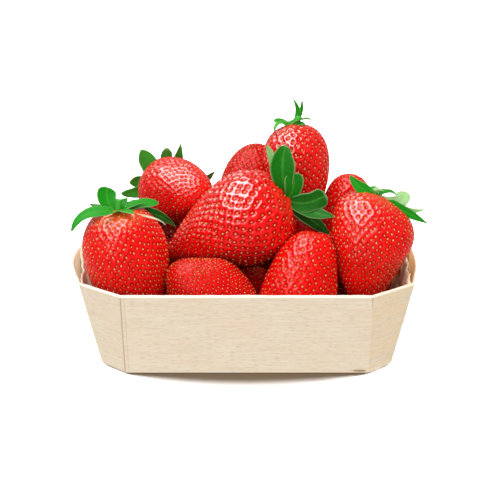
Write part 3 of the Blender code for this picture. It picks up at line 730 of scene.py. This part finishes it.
def seeds_piece(frames, rng, mat):
    """All seeds as one piece, each a little different in size, turn and tone."""
    shape, faces = seed_shape()
    place, out, down, side, size = (np.concatenate([f[k] for f in frames]) for k in range(5))
    n = len(place)
    turn = rng.normal(0, SEED_TWIST, n)[:, None]
    long_way = down * np.cos(turn) + side * np.sin(turn)
    wide_way = side * np.cos(turn) - down * np.sin(turn)
    from_middle = (shape[None, :, 0:1] * long_way[:, None, :] * SEED_LENGTH
                   + shape[None, :, 1:2] * wide_way[:, None, :] * SEED_WIDTH
                   + shape[None, :, 2:3] * out[:, None, :] * SEED_DEPTH)
    points = place[:, None, :] + size[:, None, None] * from_middle
    m = len(shape)
    polygons = [[i + k * m for i in face] for k in range(n) for face in faces]
    tone = np.repeat(rng.uniform(0, 1, n), m)
    return piece("seeds", points.reshape(-1, 3), polygons, mat, "seed", tone=tone)


def inside_wall(u, v, z, inset):
    """Place within the basket's tapering walls and cut corners for shares u, v from -1 to 1."""
    half_x, half_y, cut_x, cut_y = wall_size(z / HEIGHT)
    half_x, half_y = half_x - inset, half_y - inset
    cut_x, cut_y = cut_x + 0.4 * inset, cut_y + 0.4 * inset
    x, y = np.abs(u) * half_x, np.abs(v) * half_y
    over = (x - half_x + cut_x) / cut_x + (y - half_y + cut_y) / cut_y - 1
    over = np.clip(over, 0, None) / 2
    return np.sign(u) * (x - over * cut_x), np.sign(v) * (y - over * cut_y)


def heap_core(rng, mat):
    """Lumpy middle of the heap, filling the lower part of the basket, painted dark all over as
    shade.
    """
    cols, rows = 91, 55
    u, v = np.meshgrid(np.linspace(-1, 1, cols), np.linspace(-1, 1, rows))
    half_x, half_y = BASE_LENGTH / 2, BASE_WIDTH / 2
    step_x, step_y = (CORE_LUMP * share for share in CORE_SPACING)
    top = np.full(u.shape, CORE_BED)
    for i in range(-4, 5):
        for j in range(-2, 3):
            cx = step_x * (i + 0.5 * (j % 2)) + rng.uniform(-CORE_SHIFT, CORE_SHIFT)
            cy = step_y * j + rng.uniform(-CORE_SHIFT, CORE_SHIFT)
            lump = CORE_LUMP ** 2 - (u * half_x - cx) ** 2 - (v * half_y - cy) ** 2
            middle = CORE_TOP - CORE_LUMP + rng.uniform(-CORE_DROP, 0)
            top = np.maximum(top, (middle + np.sqrt(np.clip(lump, 0, None))) * (lump > 0))
    floor = np.full(u.shape, VENEER + 0.5)
    points = np.concatenate([
        np.stack([*inside_wall(u, v, z, CORE_INSET), z], -1).reshape(-1, 3) for z in (top, floor)])
    n = len(points)
    # Painted shade: the whole core takes the dark, matt skin and half-dark pits
    return piece("heap_core", points, closed_sheet_faces(rows, cols), mat, "fruit",
                 pit=np.full(n, 0.6), pale=np.zeros(n), dull=np.ones(n),
                 gloss=np.full(n, SHADE_GLOSS))


# Leaves and stems

def leaf_width(shape, t):
    """Share of the full width at the share t of the leaf's length."""
    if shape == "broad":
        return np.clip(np.sin(math.pi * t ** 1.15), 0, 1) ** 0.6
    if shape == "blunt":
        body = np.sin(math.pi / 2 * np.minimum(t / 0.6, 1.0)) ** 0.8
        end = np.sqrt(np.clip(1 - (np.clip(t - 0.85, 0, 1) / 0.15) ** 2, 0, 1))
        return np.where(t < 0.85, body, end)
    return np.clip(np.sin(math.pi * t ** 0.8), 0, 1) ** 0.85


def leaf(b, middle, tip, width, face, shape, tone, wave, rows=17, cols=11):
    """Thin leaf with a sunk midrib, side veins and a wavy edge; returns points, faces, looks."""
    a, _, _ = axes(b)
    root = b["centre"] + a * (b["length"] / 2 - LEAF_ROOT)
    middle, tip = np.array(middle, float), np.array(tip, float)
    pull = 2 * middle - (root + tip) / 2
    t = np.linspace(0, 1, rows)[:, None]
    s = np.linspace(-1, 1, cols)[None, :]
    line = (1 - t) ** 2 * root + 2 * t * (1 - t) * pull + t * t * tip
    along = unit(2 * (1 - t) * (pull - root) + 2 * t * (tip - pull))
    side = unit(np.cross(along, np.array(face, float)))
    up = np.cross(side, along)
    half = np.maximum(width * leaf_width(shape, 0.05 + 0.94 * t), LEAF_LEAST_WIDTH) / 2
    half = half * (1 + LEAF_WAVE * np.sin(wave * 3 + 11 * t))
    ripple = LEAF_RIPPLE * np.sin(wave + 5 * t + 2 * s)
    midrib = np.exp(-(s / MIDRIB_WIDTH) ** 2)
    slanted = np.cos(VEIN_PACE * (t - VEIN_SLANT * np.abs(s)))
    vein = midrib + SIDE_VEIN * np.clip(slanted, 0, 1) ** VEIN_FINENESS
    lift = LEAF_CUP * half * s * s + ripple * np.abs(s) - VEIN_DEPTH * vein
    thick = LEAF_THICKNESS / 2 * (1 - LEAF_THIN_EDGE * s * s) * np.ones_like(t)
    spine = line[:, None, :] + side[:, None, :] * (half * s)[..., None]
    points = np.concatenate([(spine + up[:, None, :] * (lift + d)[..., None]).reshape(-1, 3)
                             for d in (thick, -thick)])
    edge = np.maximum(np.abs(s) * np.ones_like(t), t ** 3 * np.ones_like(s))
    looks = dict(tone=np.full(len(points), tone), vein=np.tile((vein * np.ones_like(t)).ravel(), 2),
                 edge=np.tile(edge.ravel(), 2))
    return points, closed_sheet_faces(rows, cols), looks


def stem(b, end, radius, rows=9, sides=12):
    """Short bent stem with a slightly swollen cut end."""
    a, _, _ = axes(b)
    start = b["centre"] + a * (b["length"] / 2 - STEM_ROOT)
    end = np.array(end, float)
    along = unit(end - start)
    u = unit(np.cross(along, [0.3, 0.9, 0.2]))
    v = np.cross(along, u)
    points = []
    for i in range(rows):
        t = i / (rows - 1)
        r = radius * (1.25 - 0.35 * t + 0.15 * t ** 4)
        middle = start + (end - start) * t + u * STEM_BEND * math.sin(math.pi * t)
        for k in range(sides):
            turn = 2 * math.pi * k / sides
            ridge = 1 + STEM_RIDGE * math.cos(3 * turn)
            points.append(middle + r * ridge * (math.cos(turn) * u + math.sin(turn) * v))
    faces = grid_faces(rows, sides, wrap=True)
    faces += [list(range(sides))[::-1], [(rows - 1) * sides + k for k in range(sides)]]
    n = len(points)
    return np.array(points), faces, dict(tone=np.full(n, 0.8), vein=np.zeros(n), edge=np.zeros(n))


def joined(name, parts, mat, slot):
    """One piece from several point and face lists with the same looks."""
    points, faces, looks, start = [], [], {}, 0
    for part_points, part_faces, part_looks in parts:
        points.append(part_points)
        faces += [[i + start for i in face] for face in part_faces]
        for key, values in part_looks.items():
            looks.setdefault(key, []).append(values)
        start += len(part_points)
    looks = {key: np.concatenate(values) for key, values in looks.items()}
    return piece(name, np.concatenate(points), faces, mat, slot, **looks)


def rosette(b, turns, reach, width, lift, tone):
    """Leaves round a calyx at the given turns."""
    a, u, v = axes(b)
    pole = b["centre"] + a * b["length"] / 2
    for k, turn in enumerate(turns):
        r = math.radians(turn)
        out = math.cos(r) * u + math.sin(r) * v
        far = reach * (0.9 + 0.2 * math.sin(3.1 * k + 1))
        middle = pole + out * far * 0.5 + a * 1.3
        tip = pole + out * far + a * (lift - 0.12 * far + 1.5 * math.sin(2.3 * k))
        yield leaf(b, middle, tip, width, a, "lance", tone, 1.7 * k)


def make_leaves(mat):
    """All leaves as one piece and all stems as another."""
    parts = [leaf(BERRIES[row[0]], *row[1:], 1.3 * k) for k, row in enumerate(LEAVES)]
    for name, *rest in ROSETTES:
        parts += list(rosette(BERRIES[name], *rest))
    joined("calyx_leaves", parts, mat, "leaf")
    stalks = [stem(BERRIES[name], end, radius) for name, end, radius in STEMS]
    joined("stems", stalks, mat, "leaf")


# Basket

def ring_corners(half_x, half_y, cx, cy):
    """Eight corners of a rectangle with cut-off corners, from the front left fold."""
    return np.array([(-half_x + cx, -half_y), (half_x - cx, -half_y), (half_x, -half_y + cy),
                     (half_x, half_y - cy), (half_x - cx, half_y), (-half_x + cx, half_y),
                     (-half_x, half_y - cy), (-half_x, -half_y + cy)])


def wall_columns():
    """Columns round the wall: panel, share along it, offset, fold groove, top groove, lip.

    The grooves are pressed into the outer face: one down the whole front left fold with a faint
    line beside it, and a short one at the top of the front right fold. The lip is the curled
    edge under the front right facet.
    """
    columns = []
    for panel, n in enumerate((30, 10, 24, 8, 30, 8, 24, 8)):
        fold = 1.0 if panel == 0 else 0.0
        top = 1.0 if panel == 1 else 0.0
        columns.append((panel, 0.0, 0.0, fold, top, 0.0))
        if panel in (0, 1):
            columns.append((panel, 0.0, FOLD_WIDTH, 0.0, 0.0, 0.0))
        if panel == 0:
            columns += [(0, 0.0, offset, groove, 0.0, 0.0)
                        for offset, groove in zip(FOLD_LINE, (0.0, 0.35, 0.0))]
        for k in range(1, n):
            share = 0.5 - 0.5 * math.cos(math.pi * k / n) if n > 10 else k / n
            lip = math.sin(math.pi * k / n) ** 0.5 if panel == 1 else 0.0
            if panel == 0 and (share < 0.03 or share > 0.985):
                continue
            columns.append((panel, share, 0.0, 0.0, 0.0, lip))
        if panel in (0, 7):
            columns.append((panel, 1.0, -FOLD_WIDTH, 0.0, 0.0, 0.0))
    return columns


COLUMNS = wall_columns()
FOLD, TOP, LIP = (np.array([column[k] for column in COLUMNS]) for k in (3, 4, 5))
RIGHT_FACET = np.array([column[0] == 1 for column in COLUMNS], float)


def wall_ring(t, inset):
    """Closed line of the wall at height share t, with its run along the wall.

    The end walls bow outward toward the rim.
    """
    corners = ring_corners(*wall_size(t))
    line = []
    for panel, share, offset, *_ in COLUMNS:
        a, b = corners[panel], corners[(panel + 1) % 8]
        p = a + (b - a) * share + unit(b - a) * offset
        if panel in (2, 6):
            p[0] += (BOW_RIGHT if panel == 2 else -BOW_LEFT) * wall_bulge(share, t)
        line.append(p)
    line = np.array(line)
    edge = np.roll(line, -1, 0) - line
    normal = unit(np.stack([edge[:, 1], -edge[:, 0]], -1))
    before = np.roll(normal, 1, 0)
    mitre = (normal + before) / (1 + (normal * before).sum(1))[:, None]
    run = np.concatenate([[0], np.cumsum(np.linalg.norm(edge, axis=1))[:-1]])
    return line - mitre * np.broadcast_to(inset, len(line))[:, None], run


def basket_shell(rng, mat):
    """Folded veneer shell: outer wall, rim, inner wall and floor, as one closed skin.

    Each level has its height share, its inset from the outside and its share of cut-edge cream,
    which also lightens a band of the outer face just under the rim.
    """
    levels = [(0.0, 1.7, 0.0), (0.010, 0.85, 0.0), (0.028, 0.25, 0.0), (0.055, 0.0, 0.0)]
    levels += [(t, 0.0, 0.0) for t in np.linspace(0.12, 0.93, 14)]
    levels += [(0.965, 0.0, 0.0), (0.976, 0.0, 0.8), (0.996, 0.0, 1.0), (1.0, 0.18, 1.0)]
    levels += [(1.0, VENEER - 0.18, 1.0), (0.996, VENEER, 1.0), (0.985, VENEER, 0.0)]
    levels += [(t, VENEER, 0.0) for t in np.linspace(0.96, VENEER / HEIGHT, 14)]
    _, run = wall_ring(0.0, 0.0)
    ripple = sum(rng.uniform(0.02, 0.06)
                 * np.sin(run * k / run[-1] * 2 * math.pi + rng.uniform(0, 6))
                 for k in (5, 9, 16, 31, 47))
    points, grain, tan, cut, crease = [], [], [], [], []
    for t, inset, is_cut in levels:
        inner = inset > VENEER / 2 and t > 0.001
        groove = (FOLD + TOP * np.clip((t - 0.84) / 0.05, 0, 1)) * (not inner)
        curl = LIP * np.clip(1 - t / 0.06, 0, 1) * (not inner)
        ring, run = wall_ring(t, inset + FOLD_DEPTH * groove - LIP_REACH * curl)
        z = np.broadcast_to(HEIGHT * t + (ripple * 0.8 if t > 0.99 else 0), len(ring))
        points.append(np.column_stack([ring, z]))
        grain.append(np.column_stack([run, z, np.full(len(run), 40.0 * inner)]))
        inner_tan = np.where(ring[:, 0] > 0, INNER_TAN[1], INNER_TAN[-1])
        tan.append(inner_tan if inner else FACET_TAN * RIGHT_FACET)
        # Painted light: the inner faces are lightened with cream
        cut.append(np.maximum(np.full(len(run), max(is_cut, INNER_PAINTED_LIGHT * inner)), curl))
        # Painted shade in the fold grooves and along the foot of the outer wall
        foot = np.clip(1 - t / 0.028, 0, 1) * (not inner)
        crease.append(np.maximum(0.75 * groove * (1 - is_cut), 0.6 * foot * (1 - LIP)))
    n = len(COLUMNS)
    faces = grid_faces(len(levels), n, wrap=True)
    last = (len(levels) - 1) * n
    faces += [list(range(n))[::-1], [last + k for k in range(n)]]
    ob = piece("veneer_shell", np.concatenate(points), faces, mat, "veneer",
               grain=np.concatenate(grain), tan=np.concatenate(tan), cut=np.concatenate(cut),
               crease=np.concatenate(crease))
    foot_slot(ob, mat)
    ob.data.set_sharp_from_angle(angle=math.radians(28))
    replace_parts(ob, "basket")


def foot_slot(shell, mat):
    """Recess at the foot of the front panel beside the right-hand fold."""
    sides = 24
    turn = np.arange(sides) * 2 * math.pi / sides
    x = FOOT_GAP_X + FOOT_GAP[0] / 2 * np.cos(turn)
    z = FOOT_GAP_Z + FOOT_GAP[1] / 2 * np.sin(turn)
    wall = -BASE_WIDTH / 2 - WALL_SLOPE * FOOT_GAP_Z
    points = np.concatenate([np.column_stack([x, np.full(sides, y), z])
                             for y in (wall - 3.0, wall + FOOT_GAP_DEPTH)])
    faces = grid_faces(2, sides, wrap=True, flip=True)
    faces += [list(range(sides)), list(range(sides, 2 * sides))[::-1]]
    cutter = mesh_object("foot_slot", points, faces)
    cutter.data.materials.append(mat)
    recess = shell.modifiers.new("foot slot", "BOOLEAN")
    recess.operation = "DIFFERENCE"
    recess.object = cutter
    graph = bpy.context.evaluated_depsgraph_get()
    mesh = bpy.data.meshes.new_from_object(shell.evaluated_get(graph), depsgraph=graph)
    shell.modifiers.clear()
    shell.data = mesh
    bpy.data.objects.remove(cutter, do_unlink=True)
    place = np.array([v.co for v in mesh.vertices]) / MM
    # Painted shade on the back face of the recess
    deep = ((np.abs(place[:, 0] - FOOT_GAP_X) < FOOT_GAP[0] / 2 + 0.1)
            & (np.abs(place[:, 1] - wall - FOOT_GAP_DEPTH) < 0.05))
    for k in np.flatnonzero(deep):
        mesh.attributes["crease"].data[k].value = 0.9


def end_wall(side, y, z):
    """Distance of an end wall's inner face from the middle plane at the given Y and height."""
    t = z / HEIGHT
    half_x, half_y, _, cut_y = wall_size(t)
    half = half_y - cut_y
    beyond = np.clip(np.abs(y) - half, 0, None)
    bulge = wall_bulge(np.clip((y + half) / (2 * half), 0, 1), t)
    bow = (BOW_RIGHT if side > 0 else BOW_LEFT) * bulge
    return half_x - VENEER + bow - beyond


def smooth_line(knots, at):
    """Smooth curve through the knots, read at the given first coordinates."""
    y, x = knots[:, 0], knots[:, 1]
    slope = np.gradient(x, y)
    k = np.clip(np.searchsorted(y, at) - 1, 0, len(y) - 2)
    span = y[k + 1] - y[k]
    t = (at - y[k]) / span
    return ((1 + 2 * t) * (1 - t) ** 2 * x[k] + t * (1 - t) ** 2 * span * slope[k]
            + t * t * (3 - 2 * t) * x[k + 1] + t * t * (t - 1) * span * slope[k + 1])


def liner(name, side, depth, line, mat):
    """Inner veneer layer at one end: a wavy strip standing inside the end wall."""
    knots = np.array(line, float)
    y = np.linspace(knots[0, 0], knots[-1, 0], 72)
    x = smooth_line(knots, y)
    rows = np.linspace(0, 1, 9)
    top = HEIGHT - LINER_BELOW_RIM
    layers, height = [], []
    for d, shares in ((-LINER_THICKNESS / 2, rows), (LINER_THICKNESS / 2, rows[::-1])):
        for share in shares:
            z = top - depth * (1 - share) + LINER_RIPPLE * np.sin(y * 0.9) * share
            flutter = LINER_RIPPLE * np.sin(y * 1.7 + 2.0 * share) * share
            lean = WALL_SLOPE * (HEIGHT - z)
            taper = 1 - LINER_TAPER * (HEIGHT - z)
            reach = end_wall(side, y * taper, z) - LINER_THICKNESS / 2 - LINER_PLAY
            across = np.minimum(x + flutter - lean, reach)
            layers.append(np.stack([side * (across + d), y * taper, z], -1))
            height.append(np.full(len(y), share))
    count, cols = len(layers), len(y)
    faces = []
    for r in range(count):
        nxt = (r + 1) % count
        faces += [[r * cols + c, r * cols + c + 1, nxt * cols + c + 1, nxt * cols + c]
                  for c in range(cols - 1)]
    faces.append([r * cols for r in range(count)])
    faces.append([r * cols + cols - 1 for r in range(count)][::-1])
    if side > 0:
        faces = [face[::-1] for face in faces]
    points, height = np.concatenate(layers), np.concatenate(height)
    n = len(points)
    grain = np.column_stack([points[:, 2], points[:, 1] * 1.6, np.full(n, 90.0)])
    cut = np.where(height > 0.95, LINER_EDGE_CREAM, LINER_CREAM)
    piece(name, points, faces, mat, "veneer", grain=grain, tan=np.full(n, LINER_TAN[side]),
          cut=cut, crease=np.zeros(n))


# The whole

set_stage()
skin, husk = skin_material(), seed_material()
green, wood = leaf_material(), veneer_material()

basket_shell(np.random.default_rng(11), wood)
liner("liner_left", -1, LINER_DEPTH_LEFT, LEFT_LINE, wood)
liner("liner_right", 1, LINER_DEPTH_RIGHT, RIGHT_LINE, wood)

draw = np.random.default_rng(4)
seeds_piece([berry_skin(name, b, draw, skin) for name, b in BERRIES.items()], draw, husk)
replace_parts(heap_core(np.random.default_rng(5), skin), "fruit")
make_leaves(green)
